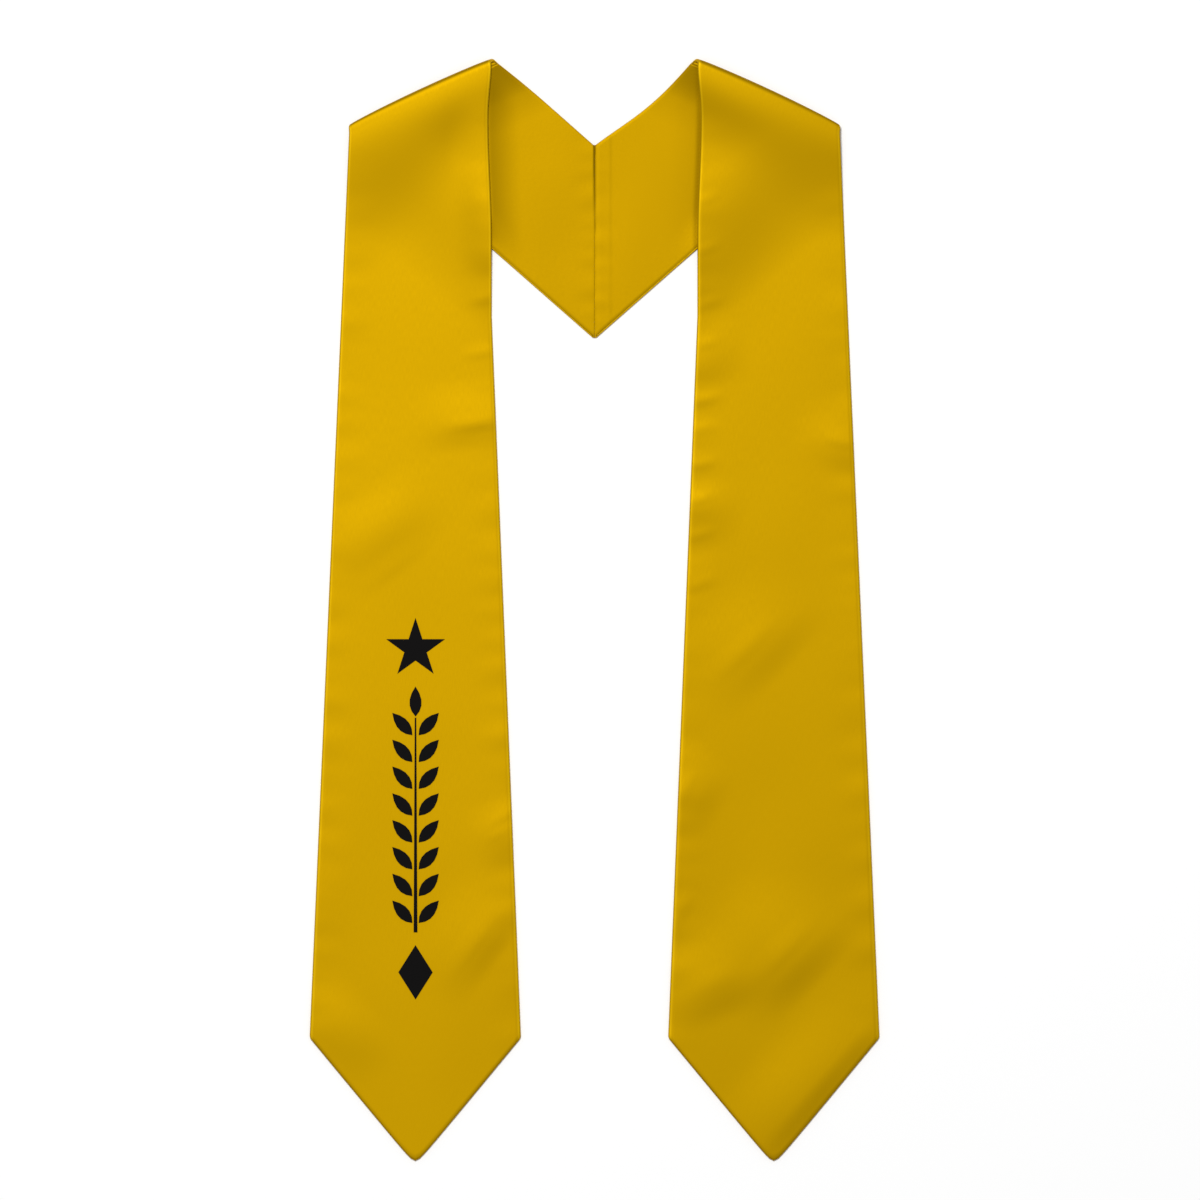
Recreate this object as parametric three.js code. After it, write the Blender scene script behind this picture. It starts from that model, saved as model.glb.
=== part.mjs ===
// A graduation stole of golden satin, laid flat with both shoulders softly folded over.
// Millimetres. It lies on the plane z = 0 and is seen from above: +Y runs from the points up to
// the neck, +X to the wearer's left. The origin is the middle of its footprint on that plane.
// Each half is worked out with x growing outwards from the centre line, and then set on its side.

import * as THREE from "three";

const { clamp, degToRad, lerp } = THREE.MathUtils;

// Outline of the stole as it lies
const FRONT_LENGTH = 685; // from the neck end of the shoulder fold down to the hem corners
const POINT_HEIGHT = 86; // from the hem corners down to the tip
const NECK_GAP = 144; // between the two front panels beside the neck
const HEM_GAP = 103; // between the two front panels at the hem corners
const NECK_RUN = 180; // how far down the inner edges stay parallel before they flare
const NECK_WIDTH = 97.5; // a front panel at the top of the shoulder
const HEM_WIDTH = 148; // a front panel at the hem corners
const SHOULDER_SLOPE = 24.9; // degrees by which the shoulder fold falls to the outside
const SEAM_LENGTH = 135; // the centre-back seam
const TIP_RADIUS = 3; // rounding of the point
const CORNER_RADIUS = 5; // rounding of the two hem corners

// Cloth
const PLY = 1; // wall of one satin ply with its interfacing
const PLY_GAP = 0.3; // between the face and the lining of one half
const LAYER_GAP = 0.3; // between the back strip and the front panel that lies on it
const SEAM_GAP = 0.3; // between the two halves at the centre-back seam
const LINING_SETBACK = 0.8; // the face is pressed this far over the edge, so the lining is smaller
const ROLL_RADIUS = 5; // outside of the shoulder roll
const ROLL_RUN = 54; // distance over which a front panel settles from the top of the roll
const STEP_RUN = 65; // distance over which it comes down across the back strip's lower edge
const STEP_LEAD = 25; // how far above that edge it starts to come down
const STEP_LOFT = 1.6; // how far it bridges clear of the strip before it comes down
const FOLD_HEIGHT = 1.2; // the tallest soft fold of the front panels

// Ornament on the right front panel
const ORNAMENT_WIDTH = 41;
const ORNAMENT_ABOVE_HEM = 27; // its lower end above the hem corners
const ORNAMENT_SPACE = 9; // between the star, the laurel branch and the lozenge
const FILM = 0.4; // thickness of the transfer film
const FILM_GAP = 0.3; // between the film and the satin
const LOZENGE_WIDTH = 24;
const LOZENGE_HEIGHT = 38;
const BRANCH_HEIGHT = 172; // from the foot of the stem to the tip of the top leaf
const STEM_WIDTH = 2.6;
const STEM_TAPER = 0.6; // share of its width that the stem loses by its top
const LEAF_LENGTH = 21;
const LEAF_WIDTH = 8.5;
const LEAF_BELLY = 0.42; // where a leaf is widest, as a share of its length
const LEAF_PAIRS = 8;
const LEAF_LEAN = 42; // degrees between a leaf and the stem
const LEAF_SPACE = 0.9; // between a leaf's foot and the stem
const FIRST_PAIR = 0.35; // where the lowest leaves stand, as a share of the pitch of the pairs
const STAR_POINTS = 5;

// Soft folds of the front panels, one row each. along: share of the front length, down from the
// neck. across: share of the panel's width, out from its inner edge. turn: degrees of the crest,
// anticlockwise from outwards on the left half and mirrored on the right. length and width: shares
// of the hem width. height: share of the fold height.
const FOLDS = {
  right: [
    { along: 0.37, across: 0.15, turn: -5, length: 0.7, width: 0.36, height: 0.5 },
    { along: 0.48, across: 0.72, turn: -37, length: 0.9, width: 0.42, height: 0.7 },
    { along: 0.79, across: 0.04, turn: -20, length: 0.42, width: 0.36, height: 0.45 },
    { along: 0.9, across: 0.18, turn: -54, length: 0.75, width: 0.36, height: 0.7 },
    { along: 0.99, across: 0.86, turn: 50, length: 0.6, width: 0.4, height: 0.5 },
  ],
  left: [
    { along: 0.3, across: 0.06, turn: 10, length: 0.45, width: 0.36, height: 0.45 },
    { along: 0.39, across: 0.93, turn: -14, length: 0.5, width: 0.34, height: 0.4 },
    { along: 0.46, across: 0.06, turn: -12, length: 0.45, width: 0.36, height: 0.45 },
    { along: 0.6, across: 0.42, turn: 45, length: 0.85, width: 0.42, height: 0.8 },
    { along: 0.75, across: 0.06, turn: 60, length: 0.45, width: 0.36, height: 0.5 },
    { along: 0.92, across: 0.5, turn: 45, length: 0.8, width: 0.45, height: 1 },
    { along: 0.96, across: 0.2, turn: 24, length: 0.6, width: 0.36, height: 0.7 },
  ],
};

// Fineness of the cloth walls
const COLUMNS = 10; // cells across a ply
const BACK_ROWS = 4; // cells from the seam to the shoulder roll
const ROLL_ROWS = 8; // cells round the roll
const SHOULDER_ROWS = 16; // cells from the roll to the level of the seam's lower end
const PANEL_ROWS = 28; // cells from there to the point
const SHOULDER_CLUSTER = 1.35; // above 1 draws the shoulder's rows together towards the roll
const EDGE_CLUSTER = 0.035; // draws the columns together towards the edges
const STEM_STEPS = 12; // cells up the stem
const LEAF_STEPS = 5; // cells along each side of a leaf
const ROWS = BACK_ROWS + ROLL_ROWS + SHOULDER_ROWS + PANEL_ROWS;

// Levels and lines that follow from the sizes
const STACK = 2 * PLY + PLY_GAP; // both plies of one half
const TOP_Y = (FRONT_LENGTH + POINT_HEIGHT) / 2;
const HEM_Y = TOP_Y - FRONT_LENGTH;
const FLARE_Y = TOP_Y - NECK_RUN;
const SLOPE = degToRad(SHOULDER_SLOPE);
const BACK_SLOPE = Math.PI / 2 - 2 * SLOPE; // the fold mirrors the upright panel to this fall
const ALONG_FOLD = new THREE.Vector2(Math.cos(SLOPE), -Math.sin(SLOPE));
const ACROSS_FOLD = new THREE.Vector2(Math.sin(SLOPE), Math.cos(SLOPE));
const ROLL_SHIFT = Math.PI * (ROLL_RADIUS - STACK / 2) * Math.tan(SLOPE);
const STAR_RADIUS = ORNAMENT_WIDTH / (2 * Math.sin((2 * Math.PI) / STAR_POINTS));
const STAR_WAIST = Math.cos((2 * Math.PI) / STAR_POINTS) / Math.cos(Math.PI / STAR_POINTS);

function innerEdge(y) {
  const flare = clamp((FLARE_Y - y) / (FLARE_Y - HEM_Y), 0, 1);
  return lerp(NECK_GAP, HEM_GAP, flare) / 2;
}

function outerEdge(y) {
  const down = clamp((TOP_Y - y) / FRONT_LENGTH, 0, 1);
  return lerp(NECK_GAP / 2 + NECK_WIDTH, HEM_GAP / 2 + HEM_WIDTH, down);
}

function panelPoint(across, y) {
  return new THREE.Vector2(lerp(innerEdge(y), outerEdge(y), across), y);
}

// Where the front panel leaves the roll, at its inner and at its outer edge. The outer end is where
// the roll's line meets the slanting outer edge.
function rollEnds() {
  const y = TOP_Y - ROLL_RADIUS * Math.cos(SLOPE) - (ROLL_SHIFT / 2) * Math.sin(SLOPE);
  const inner = panelPoint(0, y);
  const lean = (outerEdge(HEM_Y) - outerEdge(TOP_Y)) / FRONT_LENGTH;
  const reach = (outerEdge(y) - inner.x) / (1 - lean * Math.tan(SLOPE));
  const outer = new THREE.Vector2(inner.x + reach, y - reach * Math.tan(SLOPE));
  return { inner, outer };
}

const ROLL_ENDS = rollEnds();

function frontStart(across) {
  return ROLL_ENDS.inner.clone().lerp(ROLL_ENDS.outer, across);
}

function backStart(across) {
  return frontStart(across).addScaledVector(ALONG_FOLD, -ROLL_SHIFT);
}

const SEAM_TOP = backStart(0).y - backStart(0).x * Math.tan(BACK_SLOPE);

function seamPoint(across) {
  return new THREE.Vector2(SEAM_GAP / 2, SEAM_TOP - SEAM_LENGTH * across);
}

// The pointed end: how far below the hem corners the cloth reaches at a share of the width.
function pointDrop(across) {
  const half = HEM_WIDTH / 2;
  const out = Math.abs(2 * across - 1) * half;
  const slant = POINT_HEIGHT / (Math.hypot(half, TIP_RADIUS) - TIP_RADIUS);
  const cornerTurn = Math.PI / 2 - Math.atan(slant);
  const rounding = out < half ? 0 : CORNER_RADIUS * Math.tan(cornerTurn / 2);
  return POINT_HEIGHT - slant * (Math.hypot(out, TIP_RADIUS) - TIP_RADIUS) - rounding;
}

// 1 up to the start of a slope, 0 from its end on, and a soft fall between.
function settle(share) {
  return 0.5 + 0.5 * Math.cos(Math.PI * clamp(share, 0, 1));
}

function foldHeight(side, x, y) {
  let height = 0;
  for (const fold of FOLDS[side]) {
    const crest = panelPoint(fold.across, TOP_Y - fold.along * FRONT_LENGTH);
    const turn = degToRad(fold.turn);
    const from = new THREE.Vector2(x, y).sub(crest).rotateAround(new THREE.Vector2(), -turn);
    const lengthShare = Math.abs(from.x) / ((fold.length * HEM_WIDTH) / 2);
    const widthShare = Math.abs(from.y) / ((fold.width * HEM_WIDTH) / 2);
    height += fold.height * FOLD_HEIGHT * settle(lengthShare) * settle(widthShare);
  }
  return height;
}

// How high the underside of a front panel lies: down from the roll, in a soft bridge over the back
// strip and its lower edge, onto the ground, and up again in its soft folds.
function frontLift(side, x, y) {
  const here = new THREE.Vector2(x, y);
  const belowRoll = ROLL_ENDS.inner.clone().sub(here).dot(ACROSS_FOLD);
  const rollShare = settle(belowRoll / ROLL_RUN);
  const bridge = STACK + LAYER_GAP + STEP_LOFT;
  const edge = backStart(1).sub(seamPoint(1)).normalize();
  const pastBack = here.clone().sub(seamPoint(1)).cross(edge);
  const step = bridge * settle((pastBack + STEP_LEAD) / STEP_RUN);
  return lerp(step + foldHeight(side, x, y), 2 * ROLL_RADIUS - STACK, rollShare);
}

// The cloth at a row from the seam to the point and a share across, at a depth in from the face's
// outer surface.
function clothPoint(side, row, across, depth) {
  const rollRow = row - BACK_ROWS;
  const shoulderRow = rollRow - ROLL_ROWS;
  const panelRow = shoulderRow - SHOULDER_ROWS;
  if (rollRow <= 0) {
    const flat = seamPoint(across).lerp(backStart(across), row / BACK_ROWS);
    return new THREE.Vector3(flat.x, flat.y, depth);
  }
  if (shoulderRow <= 0) {
    const round = rollRow / ROLL_ROWS;
    const radius = ROLL_RADIUS - depth;
    const flat = backStart(across).addScaledVector(ALONG_FOLD, ROLL_SHIFT * round);
    flat.addScaledVector(ACROSS_FOLD, radius * Math.sin(Math.PI * round));
    return new THREE.Vector3(flat.x, flat.y, ROLL_RADIUS - radius * Math.cos(Math.PI * round));
  }
  const seamEnd = seamPoint(1).y;
  const down = (clamp(shoulderRow, 0, SHOULDER_ROWS) / SHOULDER_ROWS) ** SHOULDER_CLUSTER;
  const shoulderY = lerp(frontStart(across).y, seamEnd, down);
  const endY = HEM_Y - pointDrop(across);
  const y = panelRow <= 0 ? shoulderY : lerp(seamEnd, endY, panelRow / PANEL_ROWS);
  const flat = panelPoint(across, y);
  return new THREE.Vector3(flat.x, flat.y, frontLift(side, flat.x, flat.y) + STACK - depth);
}

function gridPoint(side, row, column, depth) {
  const share = column / COLUMNS;
  const across = share - EDGE_CLUSTER * Math.sin(2 * Math.PI * share);
  return clothPoint(side, row, across, depth);
}

function drawIn(point, neighbour, setback) {
  return point.lerp(neighbour, setback / point.distanceTo(neighbour));
}

// A ply's corner of the grid. Its outermost ones are drawn in by the setback, along the cloth.
function plyPoint(side, row, column, depth, setback) {
  const point = gridPoint(side, row, column, depth);
  if (row === ROWS) drawIn(point, gridPoint(side, row - 1, column, depth), setback);
  if (column === 0) drawIn(point, gridPoint(side, row, 1, depth), setback);
  if (column === COLUMNS) drawIn(point, gridPoint(side, row, COLUMNS - 1, depth), setback);
  return point;
}

// A box's upper and lower sides are cut along opposite diagonals. This cuts the cells of the lower
// side, the last of the six, like those of the upper one, so that two plies nest with an even gap.
// Each cell is two triangles of three corners.
function matchDiagonals(geometry) {
  const index = geometry.getIndex();
  const lower = geometry.groups.at(-1);
  const cornersOfCell = 6;
  for (let i = lower.start; i < lower.start + lower.count; i += cornersOfCell) {
    index.setX(i + 2, index.getX(i + 4));
    index.setX(i + 3, index.getX(i));
  }
}

// One ply of one half: a box with a cell for each row and column, whose corners are moved to where
// the cloth lies. Its +Z side becomes the outer surface.
function plyGeometry(side, depth, setback) {
  const geometry = new THREE.BoxGeometry(1, 1, 1, COLUMNS, ROWS, 1);
  matchDiagonals(geometry);
  const position = geometry.getAttribute("position");
  const mirror = side === "left" ? 1 : -1;
  for (let i = 0; i < position.count; i += 1) {
    const column = Math.round((0.5 + mirror * position.getX(i)) * COLUMNS);
    const row = Math.round((0.5 - position.getY(i)) * ROWS);
    const inward = (0.5 - position.getZ(i)) * PLY;
    const point = plyPoint(side, row, column, depth + inward, setback);
    position.setXYZ(i, mirror * point.x, point.y, point.z);
  }
  geometry.computeVertexNormals();
  return geometry;
}

function satin(colour) {
  return new THREE.MeshStandardMaterial({ color: colour, roughness: 0.42, metalness: 0 });
}

function film() {
  return new THREE.MeshStandardMaterial({ color: 0x14120f, roughness: 0.6, metalness: 0 });
}

function named(name, geometry, material) {
  const mesh = new THREE.Mesh(geometry, material);
  mesh.name = name;
  return mesh;
}

function half(side) {
  const group = new THREE.Group();
  const liningDepth = PLY + PLY_GAP;
  group.add(named(`${side}_face`, plyGeometry(side, 0, 0), satin(0xd3a206)));
  group.add(named(`${side}_lining`, plyGeometry(side, liningDepth, LINING_SETBACK), satin(0xcb9b05)));
  return group;
}

// A flat shape of film, laid on the right front panel so that it follows the satin below it.
function filmGeometry(shape) {
  const geometry = new THREE.ExtrudeGeometry(shape, { depth: FILM, bevelEnabled: false });
  const position = geometry.getAttribute("position");
  for (let i = 0; i < position.count; i += 1) {
    const x = position.getX(i);
    const y = position.getY(i);
    const satinTop = frontLift("right", -x, y) + STACK;
    position.setZ(i, satinTop + FILM_GAP + position.getZ(i));
  }
  geometry.computeVertexNormals();
  return geometry;
}

// A shape drawn round its own origin, moved to its place and turned there.
function placed(points, x, y, turn) {
  const moved = points.map((point) => {
    const turned = point.clone().rotateAround(new THREE.Vector2(), turn);
    return turned.add(new THREE.Vector2(x, y));
  });
  return new THREE.Shape(moved);
}

// The star's waist lies on the lines from each point to the next but one.
function starOutline() {
  const points = [];
  for (let i = 0; i < 2 * STAR_POINTS; i += 1) {
    const radius = i % 2 ? STAR_RADIUS * STAR_WAIST : STAR_RADIUS;
    const angle = Math.PI / 2 + (i * Math.PI) / STAR_POINTS;
    points.push(new THREE.Vector2(radius * Math.cos(angle), radius * Math.sin(angle)));
  }
  return points;
}

function lozengeOutline() {
  return [
    new THREE.Vector2(0, -LOZENGE_HEIGHT / 2),
    new THREE.Vector2(LOZENGE_WIDTH / 2, 0),
    new THREE.Vector2(0, LOZENGE_HEIGHT / 2),
    new THREE.Vector2(-LOZENGE_WIDTH / 2, 0),
  ];
}

// A leaf stands on its foot at the origin, with its widest part a little below the middle.
function leafOutline() {
  const foot = new THREE.Vector2(0, 0);
  const tip = new THREE.Vector2(0, LEAF_LENGTH);
  const right = new THREE.Vector2(LEAF_WIDTH, LEAF_BELLY * LEAF_LENGTH);
  const left = new THREE.Vector2(-LEAF_WIDTH, LEAF_BELLY * LEAF_LENGTH);
  const rising = new THREE.QuadraticBezierCurve(foot, right, tip).getPoints(LEAF_STEPS);
  const falling = new THREE.QuadraticBezierCurve(tip, left, foot).getPoints(LEAF_STEPS);
  return [...rising.slice(0, -1), ...falling.slice(0, -1)];
}

// The stem narrows from its foot to nearly a line at the top.
function stemOutline(length) {
  const rising = [];
  const falling = [];
  for (let i = 0; i <= STEM_STEPS; i += 1) {
    const halfWidth = (STEM_WIDTH / 2) * (1 - (STEM_TAPER * i) / STEM_STEPS);
    const y = (length * i) / STEM_STEPS;
    rising.push(new THREE.Vector2(halfWidth, y));
    falling.unshift(new THREE.Vector2(-halfWidth, y));
  }
  return [...rising, ...falling];
}

function ornament() {
  const group = new THREE.Group();
  const foot = HEM_Y + ORNAMENT_ABOVE_HEM;
  const middle = foot + (LOZENGE_HEIGHT + BRANCH_HEIGHT) / 2 + ORNAMENT_SPACE;
  const centre = -panelPoint(0.5, middle).x;

  const lozengeY = foot + LOZENGE_HEIGHT / 2;
  const lozenge = placed(lozengeOutline(), centre, lozengeY, 0);
  group.add(named("ornament_lozenge", filmGeometry(lozenge), film()));

  const branchFoot = foot + LOZENGE_HEIGHT + ORNAMENT_SPACE;
  const stemLength = BRANCH_HEIGHT - LEAF_LENGTH - LEAF_SPACE;
  const stem = placed(stemOutline(stemLength), centre, branchFoot, 0);
  group.add(named("laurel_stem", filmGeometry(stem), film()));

  const tipLeaf = placed(leafOutline(), centre, branchFoot + stemLength + LEAF_SPACE, 0);
  group.add(named("laurel_tip_leaf", filmGeometry(tipLeaf), film()));

  const pitch = stemLength / LEAF_PAIRS;
  const lean = degToRad(LEAF_LEAN);
  const reach = STEM_WIDTH / 2 + LEAF_SPACE;
  for (let pair = 0; pair < LEAF_PAIRS; pair += 1) {
    const leafY = branchFoot + (pair + FIRST_PAIR) * pitch;
    const inner = placed(leafOutline(), centre + reach, leafY, -lean);
    const outer = placed(leafOutline(), centre - reach, leafY, lean);
    group.add(named(`laurel_leaf_${pair + 1}_inner`, filmGeometry(inner), film()));
    group.add(named(`laurel_leaf_${pair + 1}_outer`, filmGeometry(outer), film()));
  }

  const starFoot = branchFoot + BRANCH_HEIGHT + ORNAMENT_SPACE;
  const starY = starFoot + STAR_RADIUS * Math.cos(Math.PI / STAR_POINTS);
  const star = placed(starOutline(), centre, starY, 0);
  group.add(named("ornament_star", filmGeometry(star), film()));
  return group;
}

const stole = new THREE.Group();
stole.add(half("right"), half("left"), ornament());

export default stole;
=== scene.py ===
import math
from collections import namedtuple

import bmesh
import bpy
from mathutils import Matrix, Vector, noise


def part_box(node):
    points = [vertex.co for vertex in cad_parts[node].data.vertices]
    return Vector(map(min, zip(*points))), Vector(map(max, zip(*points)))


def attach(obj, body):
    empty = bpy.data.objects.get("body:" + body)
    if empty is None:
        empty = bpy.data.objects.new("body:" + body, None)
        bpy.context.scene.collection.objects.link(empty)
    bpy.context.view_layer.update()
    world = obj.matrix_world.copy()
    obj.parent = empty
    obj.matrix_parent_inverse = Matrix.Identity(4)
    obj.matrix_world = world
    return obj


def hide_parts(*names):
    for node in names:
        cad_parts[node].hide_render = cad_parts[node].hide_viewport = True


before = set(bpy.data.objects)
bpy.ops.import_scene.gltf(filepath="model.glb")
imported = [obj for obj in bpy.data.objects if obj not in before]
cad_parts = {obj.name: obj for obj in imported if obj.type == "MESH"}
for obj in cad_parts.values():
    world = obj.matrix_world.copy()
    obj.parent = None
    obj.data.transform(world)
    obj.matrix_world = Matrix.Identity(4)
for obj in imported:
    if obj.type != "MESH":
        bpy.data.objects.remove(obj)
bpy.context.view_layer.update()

# Face plies
# The outer ply of each half is golden satin, cut as one strip from the centre-back seam over the
# shoulder to the point. Its edges are rolled under and pressed. The shoulder is folded softly, so
# the ply lies face up on the front panel and face down behind the neck.

# The outline of the left half as it lies, in metres. The right half is its mirror image.
face_low, face_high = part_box("left_face")
hem_half_gap = 0.0515
hem_width = face_high.x - hem_half_gap
neck_half_gap = 0.072
neck_width = 0.0975
neck_run = 0.18  # how far down the inner edge stays upright before it flares
point_height = 0.086
tip_radius = 0.003
corner_radius = 0.005
shoulder_slope = math.radians(24.9)
seam_length = 0.135
half_seam_gap = 0.00003
top_y = face_high.y
hem_y = face_low.y + point_height
flare_y = top_y - neck_run
front_length = top_y - hem_y
back_slope = math.pi / 2 - 2 * shoulder_slope

# Beside the neck the inner edge bows outwards, most at this rise below the top of the fold. The bow
# fades out over the same rise above that place, and over the fall below it.
neck_bow = 0.0024
neck_bow_rise = 0.040
neck_bow_fall = 0.085

# The upper edge of each back strip sags below a straight line, or stands above it where negative. A
# lean above 1 puts the deepest place nearer to the fold.
neck_sag = {"right": -0.0012, "left": 0.0044}
sag_lean = 1.3


def mix(start, end, share):
    return start + (end - start) * share


def settle(share):
    """1 up to the start of a slope, 0 from its end on, and a soft fall between."""
    return 0.5 + 0.5 * math.cos(math.pi * min(max(share, 0.0), 1.0))


def inner_edge(y):
    flare = min(max((flare_y - y) / (flare_y - hem_y), 0.0), 1.0)
    from_bow = top_y - neck_bow_rise - y
    bow = neck_bow * settle(from_bow / neck_bow_fall) * settle(-from_bow / neck_bow_rise)
    return mix(neck_half_gap, hem_half_gap, flare) + bow


def outer_edge(y):
    down = min(max((top_y - y) / front_length, 0.0), 1.0)
    return mix(neck_half_gap + neck_width, hem_half_gap + hem_width, down)


def panel_point(across, y):
    return Vector((mix(inner_edge(y), outer_edge(y), across), y))


def across_panel(x, y):
    return min(max((x - inner_edge(y)) / (outer_edge(y) - inner_edge(y)), 0.0), 1.0)


# The shoulder roll. Both plies of a half turn round it. A stack is their two walls and the gap
# between them, as the solids have them.
ply_wall = 0.001
stack = face_high.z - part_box("left_lining")[1].z + ply_wall
roll_radius = face_high.z / 2
roll_squareness = 4
roll_bulge = 0.0022  # how far the middle of the fold stands out from the line of its corners
outer_press = 0.5  # height of the fold at its outer corner, as a share of its height at the neck
along_fold = Vector((math.cos(shoulder_slope), -math.sin(shoulder_slope)))
across_fold = Vector((math.sin(shoulder_slope), math.cos(shoulder_slope)))
roll_shift = math.pi * (roll_radius - stack / 2) * math.tan(shoulder_slope)


def roll_ends():
    """Where the front panel leaves the shoulder roll, at its inner and its outer edge."""
    y = top_y - roll_radius * math.cos(shoulder_slope) - roll_shift / 2 * math.sin(shoulder_slope)
    inner = panel_point(0, y)
    lean = (outer_edge(hem_y) - outer_edge(top_y)) / front_length
    reach = (outer_edge(y) - inner.x) / (1 - lean * math.tan(shoulder_slope))
    return inner, Vector((inner.x + reach, y - reach * math.tan(shoulder_slope)))


roll_inner, roll_outer = roll_ends()


def front_start(across):
    return roll_inner.lerp(roll_outer, across)


def back_start(across):
    return front_start(across) - along_fold * roll_shift


seam_top = back_start(0).y - back_start(0).x * math.tan(back_slope)


def seam_point(across):
    return Vector((half_seam_gap, seam_top - seam_length * across))


end_slant = point_height / (math.hypot(hem_width / 2, tip_radius) - tip_radius)
end_slope = math.atan(end_slant)


def end_y(across):
    """The pointed end's outline: a slant to each side of a rounded tip, with rounded hem corners."""
    out = abs(2 * across - 1) * hem_width / 2
    line = hem_y - point_height + end_slant * (math.hypot(out, tip_radius) - tip_radius)
    from_side = hem_width / 2 - out
    if from_side >= corner_radius * (1 - math.sin(end_slope)):
        return line
    level = hem_y + corner_radius * (1 / math.cos(end_slope) - end_slant)
    return level - math.sqrt(max(corner_radius**2 - (corner_radius - from_side) ** 2, 0.0))


# Soft folds, one row each. along: share of the front length, down from the neck. across: share of
# the panel's width, out from its inner edge. turn: degrees of the crest, anticlockwise from outwards
# on the left half and mirrored on the right. length and width: shares of the hem width. height:
# share of the fold height. skew: how much steeper the crest falls on its clockwise side.
fold_height = 0.0012
Fold = namedtuple("Fold", "along across turn length width height skew")
folds = {
    "right": [
        Fold(0.37, 0.15, -5, 0.70, 0.36, 0.50, 0.2),
        Fold(0.48, 0.72, -37, 0.90, 0.42, 0.50, 0.0),
        Fold(0.79, 0.04, -20, 0.42, 0.36, 0.45, 0.0),
        Fold(0.90, 0.18, -54, 0.75, 0.44, 0.50, 0.4),
        Fold(0.99, 0.86, 50, 0.60, 0.40, 0.50, 0.0),
    ],
    "left": [
        Fold(0.30, 0.06, 10, 0.45, 0.36, 0.45, 0.0),
        Fold(0.39, 0.93, -14, 0.50, 0.34, 0.40, 0.0),
        Fold(0.46, 0.06, -12, 0.45, 0.36, 0.45, 0.0),
        Fold(0.60, 0.42, 45, 0.85, 0.50, 0.50, 0.3),
        Fold(0.75, 0.06, 60, 0.45, 0.36, 0.50, 0.0),
        Fold(0.92, 0.58, 45, 0.80, 0.66, 0.80, 0.45),
        Fold(0.95, 0.20, 24, 0.60, 0.46, 0.60, 0.3),
    ],
}

# Small creases and puckers that only the face ply shows, with the same columns.
creases = {
    "right": [
        Fold(0.245, 0.05, -15, 0.22, 0.08, 0.10, 0.2),
        Fold(0.30, 0.07, -8, 0.26, 0.08, 0.12, 0.2),
        Fold(0.373, 0.12, -6, 0.40, 0.10, 0.16, 0.3),
        Fold(0.52, 0.64, -37, 0.60, 0.14, 0.10, 0.3),
        Fold(0.775, 0.05, -30, 0.24, 0.08, 0.08, 0.2),
        Fold(0.79, 0.06, -24, 0.20, 0.07, 0.06, 0.2),
        Fold(0.905, 0.22, -54, 0.60, 0.14, 0.10, 0.3),
    ],
    "left": [
        Fold(0.143, 0.06, 20, 0.20, 0.07, 0.10, 0.2),
        Fold(0.194, 0.06, 18, 0.20, 0.07, 0.12, 0.2),
        Fold(0.250, 0.07, 16, 0.24, 0.08, 0.12, 0.2),
        Fold(0.291, 0.06, 14, 0.20, 0.07, 0.10, 0.2),
        Fold(0.348, 0.07, 12, 0.24, 0.08, 0.14, 0.2),
        Fold(0.378, 0.06, 12, 0.20, 0.07, 0.10, 0.2),
        Fold(0.414, 0.07, 10, 0.22, 0.07, 0.12, 0.2),
        Fold(0.450, 0.06, 14, 0.20, 0.07, 0.12, 0.2),
        Fold(0.486, 0.07, 16, 0.22, 0.07, 0.10, 0.2),
        Fold(0.537, 0.07, 20, 0.26, 0.09, 0.12, 0.2),
        Fold(0.605, 0.34, 45, 0.60, 0.14, 0.12, 0.3),
        Fold(0.745, 0.04, 60, 0.24, 0.09, 0.14, 0.2),
        Fold(0.870, 0.04, 60, 0.28, 0.09, 0.14, 0.2),
        Fold(0.915, 0.54, 45, 0.66, 0.16, 0.12, 0.3),
        Fold(0.945, 0.20, 24, 0.46, 0.14, 0.10, 0.3),
        Fold(0.392, 0.93, -14, 0.24, 0.08, 0.12, 0.3),
        Fold(1.049, 0.68, 49, 1.40, 0.44, 0.80, 0.4),
    ],
}


def fold_rise(rows, x, y):
    rise = 0.0
    for fold in rows:
        crest = panel_point(fold.across, top_y - fold.along * front_length)
        turn = math.radians(fold.turn)
        away = Vector((x, y)) - crest
        lengthwise = away.x * math.cos(turn) + away.y * math.sin(turn)
        sideways = away.y * math.cos(turn) - away.x * math.sin(turn)
        reach = fold.width * hem_width / 2
        reach *= 1 + fold.skew if sideways > 0 else 1 - fold.skew
        length_share = abs(lengthwise) / (fold.length * hem_width / 2)
        if length_share < 1 and abs(sideways) < reach:
            rise += fold.height * fold_height * settle(length_share) * settle(abs(sideways) / reach)
    return rise


# A front panel comes down from the roll over these runs at its inner and its outer edge.
inner_roll_run = {"right": 0.080, "left": 0.076}
outer_roll_run = {"right": 0.135, "left": 0.105}

# It also bridges the back strip below it, a little clear of it and more so along the inner edge,
# and comes down from it in a step that starts a lead above the strip's lower edge.
layer_gap = 0.0003
step_loft = 0.0005
inner_loft = {"right": 0.0017, "left": 0.0}
inner_loft_run = 0.030
step_run = 0.080
step_lead = 0.029

# Next to the fold the layers stand up from the ground, over this run of the back strip.
nose_height = 0.004
nose_run = 0.045


def fold_top(across):
    """How high the fold stands: softly rolled at the neck, pressed flatter at its outer corner."""
    return 2 * roll_radius * mix(1.0, outer_press, across**2)


def roll_share(half, x, y):
    """1 at the roll, falling to 0 where the front panel has settled from it, later further out."""
    below = (roll_inner - Vector((x, y))).dot(across_fold)
    run = mix(inner_roll_run[half], outer_roll_run[half], across_panel(x, y) ** 2)
    share = min(max(below / run, 0.0), 1.0)
    return (1 - share) ** 4 * (1 + 4 * share)


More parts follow.
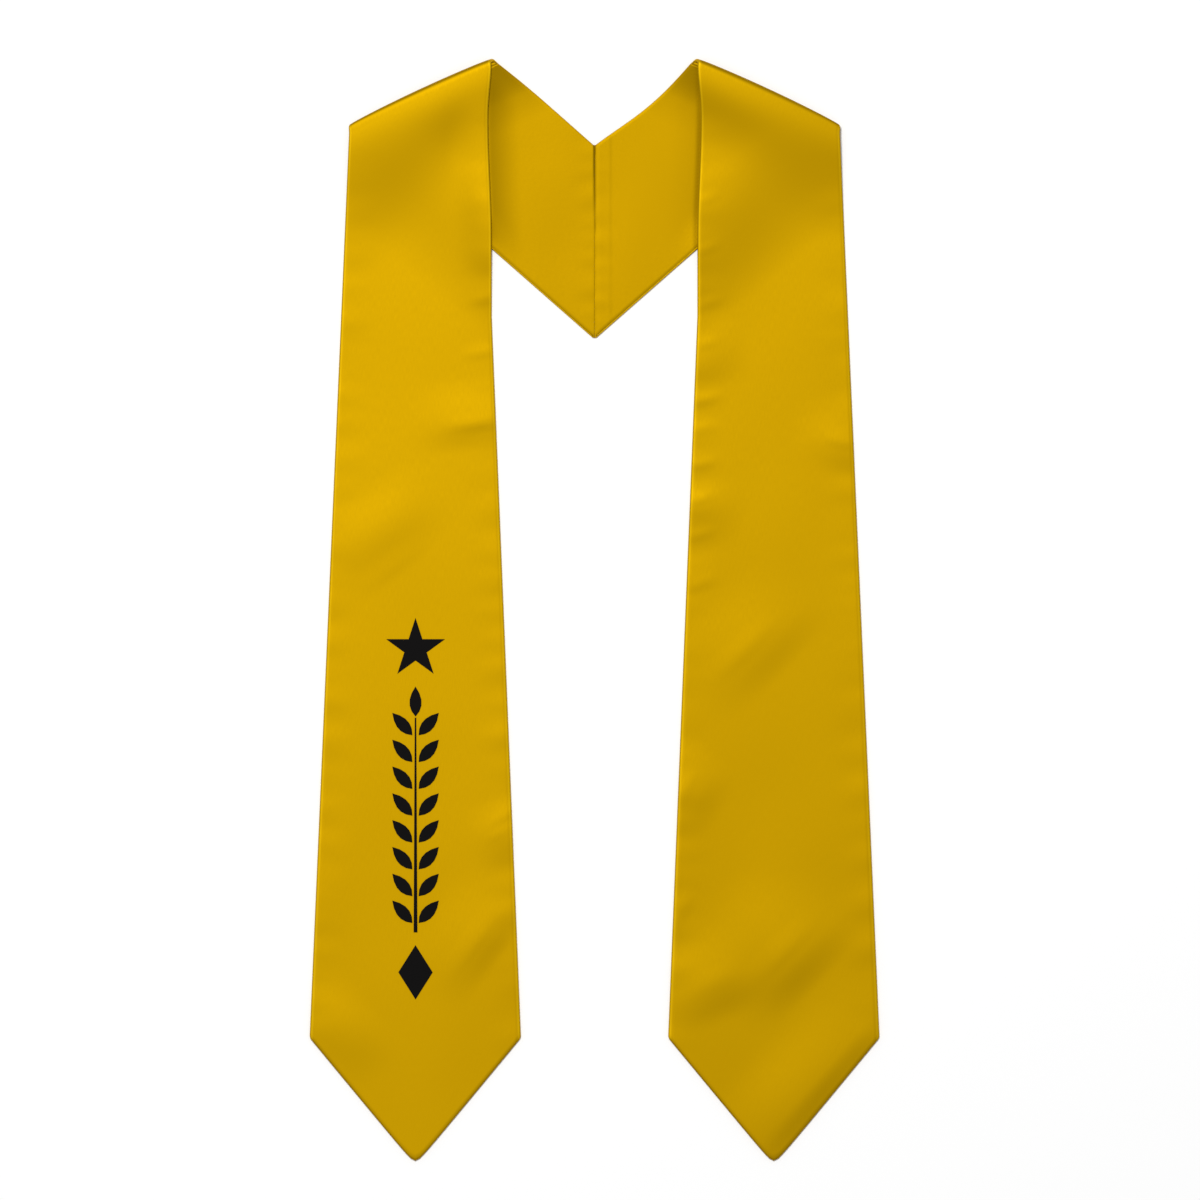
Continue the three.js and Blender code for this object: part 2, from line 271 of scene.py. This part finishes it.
def held_up(z, closeness):
    """The fold's soft nose: close to the fold the lower layers are held up towards its top."""
    return z + nose_height * closeness * (1 - z / (2 * roll_radius))


def front_lift(half, x, y):
    """How high the underside of a front panel lies: down from the roll, in a soft bridge over the
    back strip and its lower edge, onto the ground, and up again in its soft folds."""
    loft = step_loft + inner_loft[half] * settle((x - inner_edge(y)) / inner_loft_run)
    edge = (back_start(1) - seam_point(1)).normalized()
    from_edge = Vector((x, y)) - seam_point(1)
    past_back = from_edge.x * edge.y - from_edge.y * edge.x
    step = (stack + layer_gap + loft) * settle((past_back + step_lead) / step_run)
    rolled = fold_top(across_panel(x, y)) - stack
    return mix(step + fold_rise(folds[half], x, y), rolled, roll_share(half, x, y))


# A ply of cloth. level: how deep its outside lies below the outside of the face. inward: 1 if its
# edges turn towards the lining, -1 if they turn towards the face. rim: how far inside the outline its
# flat part ends. radius: of the turned edges. turned: how many degrees they turn, and seam_turned
# along the centre-back seam. turn_steps: strips round such an edge. thickness: of its wall.
Ply = namedtuple("Ply", "level inward rim radius turned seam_turned turn_steps thickness")
face_ply = Ply(level=0.0, inward=1, rim=stack / 2, radius=stack / 2, turned=165, seam_turned=165,
               turn_steps=6, thickness=0.0006)

# One line of the grid that a ply is laid from: the zone that it lies in, its share of the way
# through it, and how far it is turned under, in radians.
Line = namedtuple("Line", "zone share turn")
column_cells = 46
row_cells = {"back": 120, "roll": 14, "shoulder": 72, "panel": 186}
shoulder_spread = 1.15  # above 1 draws the shoulder's rows together towards the roll


def edge_turns(turned, steps):
    """Angles from the last turned-under strip of an edge up to the ply's flat surface."""
    return [math.radians(turned * (1 - step / steps)) for step in range(steps)]


def columns_of(ply):
    turns = edge_turns(ply.turned, ply.turn_steps)
    near = [Line("across", 0, turn) for turn in turns]
    flat = [Line("across", cell / column_cells, 0.0) for cell in range(column_cells + 1)]
    far = [Line("across", 1, turn) for turn in reversed(turns)]
    return near + flat + far


def rows_of(ply):
    """Rows from the centre-back seam, over the roll, down the front panel and round the point."""
    rows = [Line("back", 0, turn) for turn in edge_turns(ply.seam_turned, ply.turn_steps)]
    for zone, cells in row_cells.items():
        rows += [Line(zone, cell / cells, 0.0) for cell in range(cells)]
    rows.append(Line("panel", 1, 0.0))
    return rows + [Line("panel", 1, turn) for turn in reversed(edge_turns(ply.turned, ply.turn_steps))]


def inset(ply, line, crossing):
    """How far a line lies inside the ply's outermost line. At a corner the line with the lesser turn
    follows the other's, so that the turned edges nest."""
    if line.turn >= crossing.turn:
        return ply.rim - ply.radius * math.sin(line.turn)
    outermost = ply.rim - ply.radius * math.sin(crossing.turn)
    return mix(ply.rim, outermost, line.turn / crossing.turn)


def strip_width(row):
    """The strip's width square to its edges, for the rows behind the neck and over the roll."""
    seam_end = seam_length * math.cos(back_slope)
    fold_end = (roll_outer - roll_inner).length * math.cos(shoulder_slope)
    return mix(seam_end, fold_end, row.share) if row.zone == "back" else fold_end


def strip_point(half, ply, row, column):
    """Where a row and a column cross behind the neck or on the roll, as plan_point gives it."""
    width = strip_width(row)
    margin = inset(ply, column, row) / width
    across = mix(margin, 1 - margin, column.share)
    if row.zone == "roll":
        return back_start(across) + along_fold * roll_shift * row.share, across, width
    flat = seam_point(across).lerp(back_start(across), row.share)
    flat.y -= neck_sag[half] * (1 - across) ** 2 * math.sin(math.pi * row.share**sag_lean)
    outermost = ply.radius * math.sin(math.radians(min(ply.seam_turned, 90)))
    from_seam = inset(ply, row, column) - ply.rim + outermost
    return flat + Vector((from_seam, 0)) * (1 - row.share), across, width


def plan_point(half, ply, row, column):
    """Where a row and a column cross, seen from above, with the share across and the local width."""
    if row.zone in ("back", "roll"):
        return strip_point(half, ply, row, column)
    level = seam_point(1).y
    if row.zone == "shoulder":
        guess = mix(front_start(column.share).y, level, row.share)
    else:
        guess = mix(level, hem_y, row.share)
    width = outer_edge(guess) - inner_edge(guess)
    margin = inset(ply, column, row) / width
    across = mix(margin, 1 - margin, column.share)
    if row.zone == "shoulder":
        y = mix(front_start(across).y, level, row.share**shoulder_spread)
    else:
        end_inset = inset(ply, row, column) / math.cos(end_slope)
        y = mix(level, end_y(across) + end_inset, row.share)
    return panel_point(across, y), across, width


def roll_point(flat, across, depth, share):
    """A point on the roll: a half turn of a squarish section that is pressed flatter further out."""
    rising, reaching = math.cos(math.pi * share), math.sin(math.pi * share)
    fullness = (abs(rising) ** roll_squareness + reaching**roll_squareness) ** (-1 / roll_squareness)
    radius = (roll_radius - depth) * fullness
    bulge = roll_bulge * math.sqrt(max(math.sin(math.pi * across), 0.0))
    spot = flat + across_fold * (radius + bulge) * reaching
    pressed = (fold_top(across) / 2 - depth) / (roll_radius - depth)
    z = depth + (roll_radius - radius * rising - depth) * pressed
    return Vector((spot.x, spot.y, held_up(z, 1)))


steep_turn = math.pi / 3  # from here on a turned edge shows no relief


def lay_point(half, ply, row, column, relief):
    flat, across, width = plan_point(half, ply, row, column)
    turn = max(row.turn, column.turn)
    sink = ply.radius * (1 - math.cos(turn))
    from_edge = min(across, 1 - across) * width
    rise = relief(half, row, flat, from_edge) if turn < steep_turn else 0.0
    depth = ply.level + ply.inward * (sink - rise)
    if row.zone == "roll":
        return roll_point(flat, across, depth, row.share)
    if row.zone == "back":
        below_fold = (back_start(0) - flat).dot(across_fold)
        closeness = max(1 - below_fold / nose_run, 0) ** 2
        return Vector((flat.x, flat.y, held_up(depth, closeness)))
    z = front_lift(half, flat.x, flat.y) + stack - depth
    return Vector((flat.x, flat.y, held_up(z, roll_share(half, flat.x, flat.y) ** 3)))


def lay_ply(name, half, ply, relief):
    """A grid of cloth, moved corner by corner to where the ply lies, with its own map for the weave."""
    columns = columns_of(ply)
    rows = rows_of(ply)
    across_cells, along_cells = len(columns) - 1, len(rows) - 1
    mesh = bmesh.new()
    bmesh.ops.create_grid(mesh, x_segments=across_cells, y_segments=along_cells, size=0.5)
    side = 1 if half == "left" else -1
    facing = side * ply.inward
    weave = mesh.loops.layers.uv.new("weave")
    places = {}
    for corner in mesh.verts:
        column = round((0.5 + facing * corner.co.x) * across_cells)
        row = round((0.5 - corner.co.y) * along_cells)
        places[corner] = (column / across_cells, 1 - row / along_cells)
        spot = lay_point(half, ply, rows[row], columns[column], relief)
        corner.co = Vector((side * spot.x, spot.y, spot.z))
    for cell in mesh.faces:
        cell.smooth = True
        for loop in cell.loops:
            loop[weave].uv = places[loop.vert]
    data = bpy.data.meshes.new(name)
    mesh.to_mesh(data)
    mesh.free()
    piece = bpy.data.objects.new(name, data)
    bpy.context.scene.collection.objects.link(piece)
    wall = piece.modifiers.new("wall", "SOLIDIFY")
    wall.thickness = ply.thickness
    wall.offset = -1
    return piece


# Fine ripples along the edges of a front panel, and shallow clouds all over it. The rates are in
# waves for each metre, across and along the panel.
ripple_height = 0.00022
ripple_rate = Vector((14, 62))
ripple_reach = 0.028
cloud_height = 0.00030
cloud_rate = Vector((17, 11))
face_seed = {"right": 11.0, "left": 3.0}


def face_relief(half, row, flat, from_edge):
    """What the face ply shows above its own smooth lie on a front panel."""
    if row.zone in ("back", "roll"):
        return 0.0
    seed = face_seed[half]
    ripple = noise.noise(Vector((seed, flat.y * ripple_rate.y, flat.x * ripple_rate.x)))
    cloud = noise.noise(Vector((flat.x * cloud_rate.x, flat.y * cloud_rate.y, seed)))
    rise = ripple * ripple_height * settle(from_edge / ripple_reach) + cloud * cloud_height
    rise += fold_rise(creases[half], flat.x, flat.y)
    return rise * (1 - roll_share(half, flat.x, flat.y))


class Thread:
    """A number in a finish. Arithmetic on it adds Math nodes to that finish."""

    def __init__(self, finish, socket):
        self.finish = finish
        self.socket = socket

    def math(self, operation, first, second):
        return self.finish.node("ShaderNodeMath", {"operation": operation}, {0: first, 1: second})

    def __add__(self, other):
        return self.math("ADD", self, other)

    def __sub__(self, other):
        return self.math("SUBTRACT", self, other)

    def __rsub__(self, other):
        return self.math("SUBTRACT", other, self)

    def __mul__(self, other):
        return self.math("MULTIPLY", self, other)

    def __abs__(self):
        return self.math("ABSOLUTE", self, 0.0)

    __radd__ = __add__
    __rmul__ = __mul__


class Finish:
    """One procedural finish of the stole."""

    def __init__(self, name, **constants):
        self.material = bpy.data.materials.new(name)
        self.material.use_nodes = True
        self.nodes = self.material.node_tree.nodes
        self.links = self.material.node_tree.links
        self.shader = self.nodes["Principled BSDF"]
        for socket, value in constants.items():
            self.shader.inputs[socket.replace("_", " ")].default_value = value

    def node(self, kind, settings, sockets, output=0):
        made = self.nodes.new(kind)
        for name, value in settings.items():
            setattr(made, name, value)
        for name, value in sockets.items():
            if isinstance(value, Thread):
                self.links.new(value.socket, made.inputs[name])
            else:
                made.inputs[name].default_value = value
        return Thread(self, made.outputs[output])

    def blend(self, share, first, second):
        mixed = {0: share, 6: first, 7: second}
        return self.node("ShaderNodeMix", {"data_type": "RGBA"}, mixed, output=2)

    def wear(self, socket, value):
        self.links.new(value.socket, self.shader.inputs[socket])


satin_length = 0.91
light_gold = (0.412, 0.236, 0.0008, 1)
deep_gold = (0.356, 0.198, 0.0006, 1)

# The turned edges of the face get a painted highlight, a paler gold. On the cloth's map it starts this
# far off its middle.
rim_highlight_gold = (0.580, 0.350, 0.0030, 1)
rim_highlight_start = 0.388
rim_highlight_end = 0.400

# Floats of the satin weave, for each metre across and along it, and clouds in its sheen.
float_rate = (2600, 210, 1)
float_depth = 0.0002
float_strength = 0.10
sheen_rate = 9.0
sheen_detail = 2.0
cloud_tone = 0.9
float_tone = 0.35
satin_roughness = 0.50
float_roughness = 0.08
cloud_roughness = 0.05


def satin(name, pale, deep, rim_highlight_share, left_painted_shade):
    """Satin between two close golds, with a painted highlight along its turned edges and painted shade on
    its left half. rim_highlight_share: how much of the painted rim highlight it shows.
    left_painted_shade: the share of its colour that the left half keeps in that painted shade, as it lies
    further from the light."""
    finish = Finish(name, Specular_Tint=(1.0, 0.70, 0.0, 1), Specular_IOR_Level=0.5, Metallic=0.56)
    cloth = finish.node("ShaderNodeUVMap", {"uv_map": "weave"}, {})
    scale = (hem_width, satin_length, 1)
    metres = finish.node("ShaderNodeVectorMath", {"operation": "MULTIPLY"}, {0: cloth, 1: scale})
    floats = finish.node("ShaderNodeVectorMath", {"operation": "MULTIPLY"}, {0: metres, 1: float_rate})
    weft = {"Vector": floats, "Scale": 1.0}
    streaks = finish.node("ShaderNodeTexNoise", {"noise_dimensions": "2D"}, weft)
    place = finish.node("ShaderNodeTexCoord", {}, {}, output=3)
    sheen = {"Vector": place, "Scale": sheen_rate, "Detail": sheen_detail}
    cloud = finish.node("ShaderNodeTexNoise", {}, sheen)
    colour = finish.blend(0.5 + (cloud - 0.5) * cloud_tone + (streaks - 0.5) * float_tone, deep, pale)
    across = finish.node("ShaderNodeSeparateXYZ", {}, {0: cloth})
    # Painted highlight: the turned edges of the face are painted a paler gold.
    edge = {0: abs(across - 0.5), 1: rim_highlight_start, 2: rim_highlight_end, 3: 0.0, 4: 1.0}
    colour = finish.blend(finish.node("ShaderNodeMapRange", {}, edge) * rim_highlight_share, colour, rim_highlight_gold)
    # Painted shade: the left half is painted a little darker, as it lies further from the light.
    sideways = finish.node("ShaderNodeSeparateXYZ", {}, {0: place})
    painted_side_range = {0: sideways, 1: -neck_half_gap, 2: neck_half_gap, 3: 1.0, 4: left_painted_shade}
    painted_side_shade = finish.node("ShaderNodeMapRange", {}, painted_side_range)
    colour = finish.node("ShaderNodeVectorMath", {"operation": "SCALE"}, {0: colour, "Scale": painted_side_shade})
    finish.wear("Base Color", colour)
    streak_roughness = (streaks - 0.5) * float_roughness
    finish.wear("Roughness", satin_roughness + streak_roughness + (cloud - 0.5) * cloud_roughness)
    slubs = {"Strength": float_strength, "Distance": float_depth, "Height": streaks}
    finish.wear("Normal", finish.node("ShaderNodeBump", {}, slubs))
    return finish.material


face_satin = satin("face_satin", light_gold, deep_gold, rim_highlight_share=1.0, left_painted_shade=0.945)
for half in ("right", "left"):
    face = lay_ply(f"{half}_face_satin", half, face_ply, face_relief)
    face.data.materials.append(face_satin)
    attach(face, "root")
    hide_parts(f"{half}_face")

# Lining plies
# The inner ply of each half is the same satin, a shade deeper. It is sewn to the face along the
# edges, a little inside them, and shows behind the neck, where the two halves are joined by the
# centre-back seam with its allowances pressed open inside.
lining_ply = Ply(level=stack, inward=-1, rim=0.0007, radius=0.0003, turned=90, seam_turned=25,
                 turn_steps=3, thickness=0.0003)

# The lining swells inside the fold and beside the panel that lies over it, or sinks there where
# negative. Right at that panel's edge it dips in a narrow gutter on the left.
fold_loft = 0.0026
fold_loft_run = 0.026
panel_loft = {"right": 0.0020, "left": -0.0006}
panel_loft_run = 0.022
panel_loft_end = 0.015  # how far under the panel the swelling reaches
gutter_depth = {"right": 0.0, "left": 0.00045}
gutter_run = 0.0020

# The centre-back seam: the pressed allowances show through beside it on the left, and the cloth
# dips to it in a groove that is deeper towards the neck.
seam_allowance = 0.0105
allowance_height = {"right": 0.0, "left": 0.00008}
allowance_step = 0.0016
lip_depth = {"right": 0.0, "left": 0.00022}
lip_run = 0.0036
groove_depth = 0.00003
groove_top_depth = 0.0004
groove_top_run = 0.060
groove_run = 0.0009

# Clouds all over the lining and puckers along the seam, with rates as for the face.
lining_cloud_height = 0.00025
lining_cloud_rate = Vector((24, 16))
pucker_height = 0.00016
pucker_rate = Vector((20, 95))
pucker_reach = 0.02
lining_seed = {"right": 23.0, "left": 5.0}
calm_start = 0.4  # share of the way to the roll from which the clouds and puckers fade
calm_run = 0.3


def lining_lie(half, flat, from_edge):
    """How the lining swells and dips behind the neck, without its clouds and puckers."""
    below_fold = (back_start(0) - flat).dot(across_fold)
    from_panel = inner_edge(flat.y) - flat.x
    rise = fold_loft * max(1 - below_fold / fold_loft_run, 0) ** 2
    nearness = min(max(1 - from_panel / panel_loft_run, 0), 1) ** 2 * settle(-from_panel / panel_loft_end)
    rise += panel_loft[half] * nearness * (1 - settle(from_edge / panel_loft_run))
    rise -= gutter_depth[half] * settle(from_panel / gutter_run)
    rise -= lip_depth[half] * settle(flat.x / lip_run)
    rise += allowance_height[half] * settle((flat.x - seam_allowance) / allowance_step)
    groove = mix(groove_depth, groove_top_depth, settle((seam_top - flat.y) / groove_top_run))
    return rise - groove * settle(flat.x / groove_run)


def lining_relief(half, row, flat, from_edge):
    if row.zone == "roll":
        return fold_loft * settle(2 * row.share)
    if row.zone != "back":
        return 0.0
    seed = lining_seed[half]
    cloud = noise.noise(Vector((flat.x * lining_cloud_rate.x, flat.y * lining_cloud_rate.y, seed)))
    pucker = noise.noise(Vector((seed, flat.y * pucker_rate.y, flat.x * pucker_rate.x)))
    ruffle = cloud * lining_cloud_height + pucker * pucker_height * settle(flat.x / pucker_reach)
    return lining_lie(half, flat, from_edge) + ruffle * settle((row.share - calm_start) / calm_run)


light_lining = (0.355, 0.201, 0.0006, 1)
deep_lining = (0.305, 0.168, 0.0005, 1)
lining_satin = satin("lining_satin", light_lining, deep_lining, rim_highlight_share=0.0, left_painted_shade=0.98)
for half in ("right", "left"):
    lining = lay_ply(f"{half}_lining_satin", half, lining_ply, lining_relief)
    lining.data.materials.append(lining_satin)
    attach(lining, "root")
    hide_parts(f"{half}_lining")

# Ornament
# A laurel branch between a star and a lozenge, cut from thin black transfer film and pressed onto
# the satin of the right front panel, so that it follows the cloth below it.
film_black = (0.002, 0.002, 0.002, 1)
film_grey = (0.005, 0.004, 0.004, 1)
grain_rate = 1400.0
grain_detail = 2.0
grain_depth = 0.0001
grain_strength = 0.15
film_roughness = 0.46
grain_roughness = 0.16
film = Finish("transfer_film", Specular_IOR_Level=0.03)
film_place = film.node("ShaderNodeTexCoord", {}, {}, output=3)
grain_of_film = {"Vector": film_place, "Scale": grain_rate, "Detail": grain_detail}
film_grain = film.node("ShaderNodeTexNoise", {}, grain_of_film)
film.wear("Base Color", film.blend(film_grain, film_black, film_grey))
film.wear("Roughness", film_roughness + film_grain * grain_roughness)
film_dents = {"Strength": grain_strength, "Distance": grain_depth, "Height": film_grain}
film.wear("Normal", film.node("ShaderNodeBump", {}, film_dents))
for name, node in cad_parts.items():
    if name.startswith(("ornament_", "laurel_")):
        node.data.materials.clear()
        node.data.materials.append(film.material)

# Floor, light and camera
# The stole lies on a plain pale floor under one broad soft light, a little above the neck and to the
# left of the camera, which looks straight down.
floor_reach = 3
floor_drop = 0.0004
floor_mesh = bmesh.new()
bmesh.ops.create_grid(floor_mesh, x_segments=1, y_segments=1, size=floor_reach)
bmesh.ops.translate(floor_mesh, verts=floor_mesh.verts, vec=(0, 0, -floor_drop))
floor_data = bpy.data.meshes.new("floor")
floor_mesh.to_mesh(floor_data)
floor_mesh.free()
floor = bpy.data.objects.new("floor", floor_data)
bpy.context.scene.collection.objects.link(floor)
paint = Finish("pale_floor", Base_Color=(0.98, 0.98, 0.98, 1), Roughness=0.9, Specular_IOR_Level=0.1)
floor.data.materials.append(paint.material)

light_size = 1.1
light_power = 288
light_place = Vector((-0.7, 1.7, 6))
lamp = bpy.data.lights.new("key_light", "AREA")
lamp.shape = "SQUARE"
lamp.size = light_size
lamp.energy = light_power
lamp_holder = bpy.data.objects.new("key_light", lamp)
lamp_holder.location = light_place
lamp_holder.rotation_euler = (-light_place).to_track_quat("-Z", "Y").to_euler()
bpy.context.scene.collection.objects.link(lamp_holder)

studio_glow = 0.36
world = bpy.data.worlds.new("studio")
world.use_nodes = True
world.node_tree.nodes["Background"].inputs["Color"].default_value = (1, 1, 1, 1)
world.node_tree.nodes["Background"].inputs["Strength"].default_value = studio_glow
bpy.context.scene.world = world
bpy.context.scene.view_settings.view_transform = "Standard"

# The picture is square. Its scale, the middle of its sides and where the object's origin lies in it,
# in pixels from its top left corner.
pixel_size = 0.0007
picture_middle = 600
origin_column = 594.5
origin_row = 610
camera_height = 12.0
lens = bpy.data.cameras.new("camera")
lens.sensor_width = 36
lens.lens = lens.sensor_width * camera_height / (2 * picture_middle * pixel_size)
camera = bpy.data.objects.new("camera", lens)
camera.location.x = (picture_middle - origin_column) * pixel_size
camera.location.y = (origin_row - picture_middle) * pixel_size
camera.location.z = camera_height
bpy.context.scene.collection.objects.link(camera)
bpy.context.scene.camera = camera
